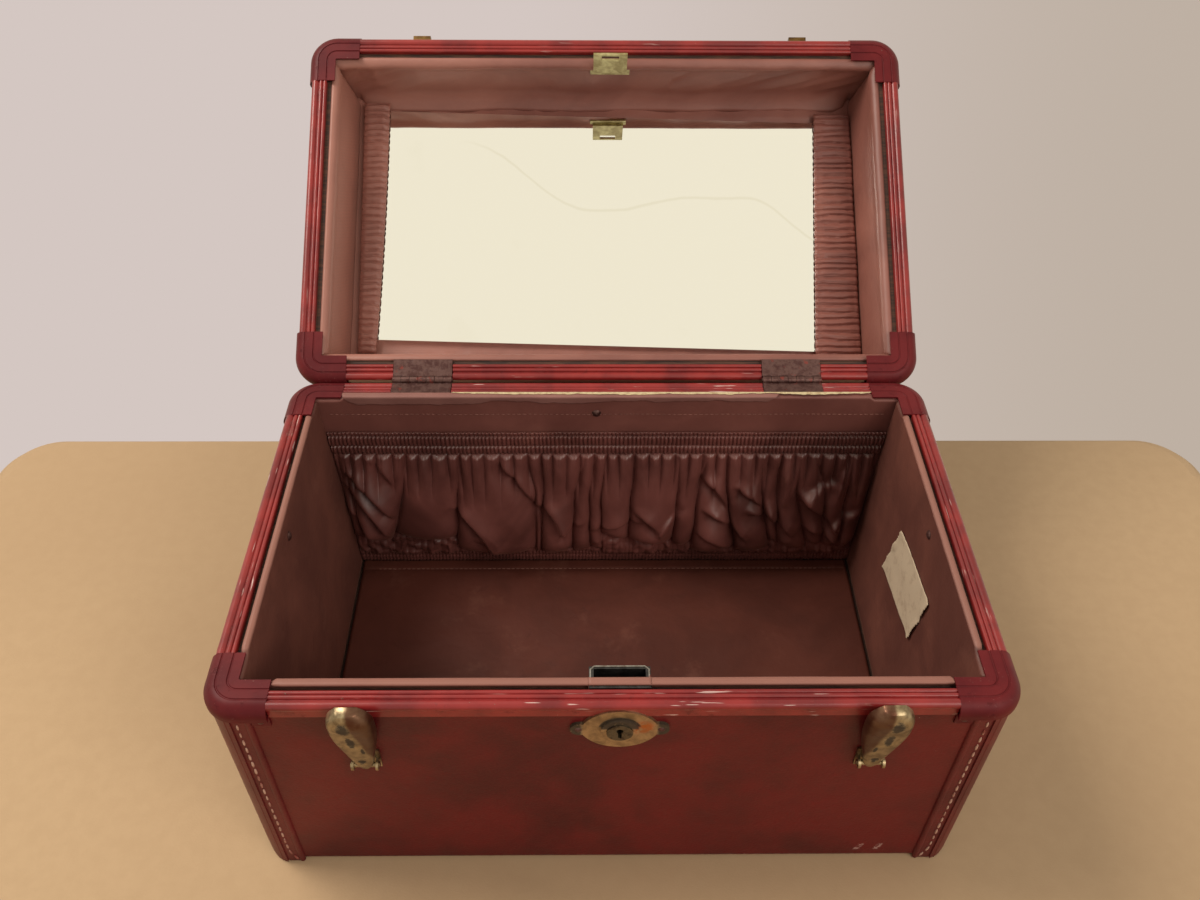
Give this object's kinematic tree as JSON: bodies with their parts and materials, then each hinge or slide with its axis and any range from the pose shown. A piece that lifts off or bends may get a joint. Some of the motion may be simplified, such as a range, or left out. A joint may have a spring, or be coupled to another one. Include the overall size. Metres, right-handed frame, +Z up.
{
  "type": "cosmetic train case",
  "caption": "Lined travel vanity case with metal-edged rim, corner caps, flip latches, key lock, gathered pocket and a mirror in its hinged lid, shown open.",
  "frame": {"origin": "centre of the base's footprint over the metal frame, on the table", "axes": "+Z up, the lock and latches face -Y, +X to the right of someone facing the lock"},
  "size_m": [0.3444, 0.4161, 0.2565],
  "materials": {
    "cover": "grained maroon leatherette, worn",
    "timber": "bare stained batten",
    "rail": "glossy red enamel, scratched to steel",
    "cap": "duller maroon enamel, edges worn to steel",
    "steel_dark": "dark tarnished steel",
    "steel": "plain steel",
    "lining": "woven satin lining, faded rose brown",
    "elastic": "gathered satin over elastic",
    "brass": "aged brass with dark spots",
    "mirror": "silvered glass",
    "grip": "stitched padded leatherette grip"
  },
  "bodies": {
    "base": {"body_shell": "cover", "body_batten": "timber", "body_rail_front": "rail", "body_rail_rear": "rail", "body_rail_left": "rail", "body_rail_right": "rail", "body_cap_front_left": "cap", "body_cap_front_right": "cap", "body_cap_rear_left": "cap", "body_cap_rear_right": "cap", "body_cap_rivets": "steel_dark", "body_bindings": "cover", "front_lining": "lining", "rear_lining": "lining", "left_lining": "lining", "right_lining": "lining", "floor_pad": "lining", "pocket_top_band": "elastic", "pocket_pouch": "lining", "pocket_bottom_band": "elastic", "lining_screws": "steel_dark", "lock_escutcheon": "brass", "lock_rivets": "steel_dark", "lock_case": "steel", "latch_plates": "brass", "latch_pins": "brass", "body_hinge_leaves": "steel_dark", "hinge_pins": "steel_dark"},
    "lid": {"lid_shell": "cover", "lid_batten": "timber", "lid_rail_front": "rail", "lid_rail_rear": "rail", "lid_rail_left": "rail", "lid_rail_right": "rail", "lid_cap_front_left": "cap", "lid_cap_front_right": "cap", "lid_cap_rear_left": "cap", "lid_cap_rear_right": "cap", "lid_cap_rivets": "steel_dark", "lid_bindings": "cover", "lid_lining_front": "lining", "lid_lining_rear": "lining", "lid_lining_left": "lining", "lid_lining_right": "lining", "lid_hinge_leaves": "steel_dark", "mirror_board": "lining", "mirror_glass": "mirror", "mirror_pocket_left": "elastic", "mirror_pocket_right": "elastic", "catch_plate": "brass", "catch_hasp": "brass", "latch_strikes": "brass", "handle_posts": "brass", "handle_pins": "brass"},
    "handle": {"handle_end_caps": "brass", "handle_grip": "grip"},
    "latch_left": {"latch_lever_left": "brass"},
    "latch_right": {"latch_lever_right": "brass"},
    "lock_plug_body": {"lock_plug": "brass"},
    "lock_bolt_body": {"lock_bolt": "steel"}
  },
  "joints": [
    {"name": "lid_hinge", "type": "hinge", "parent": "base", "child": "lid", "pos_m": [0, 0.10308, 0.13915], "axis": [1, 0, 0], "range_deg": [0, 145]},
    {"name": "handle_swing", "type": "hinge", "parent": "lid", "child": "handle", "pos_m": [0, 0.22086, 0.15064], "axis": [1, 0, 0], "range_deg": [-55, 125]},
    {"name": "latch_left_flip", "type": "hinge", "parent": "base", "child": "latch_left", "pos_m": [-0.1075, -0.1045, 0.097], "axis": [1, 0, 0], "range_deg": [-5, 60]},
    {"name": "latch_right_flip", "type": "hinge", "parent": "base", "child": "latch_right", "pos_m": [0.1125, -0.1045, 0.097], "axis": [1, 0, 0], "range_deg": [-5, 60]},
    {"name": "lock_turn", "type": "hinge", "parent": "base", "child": "lock_plug_body", "pos_m": [0.0025, -0.1025, 0.1215], "axis": [0, 1, 0], "range_deg": [0, 90]},
    {"name": "bolt_slide", "type": "slide", "parent": "base", "child": "lock_bolt_body", "axis": [0, 1, 0], "range_m": [0, 0.004]}
  ],
  "couplings": [
    {"joint": "lock_turn", "follows": "bolt_slide", "rad_per_m": 392.6}
  ]
}
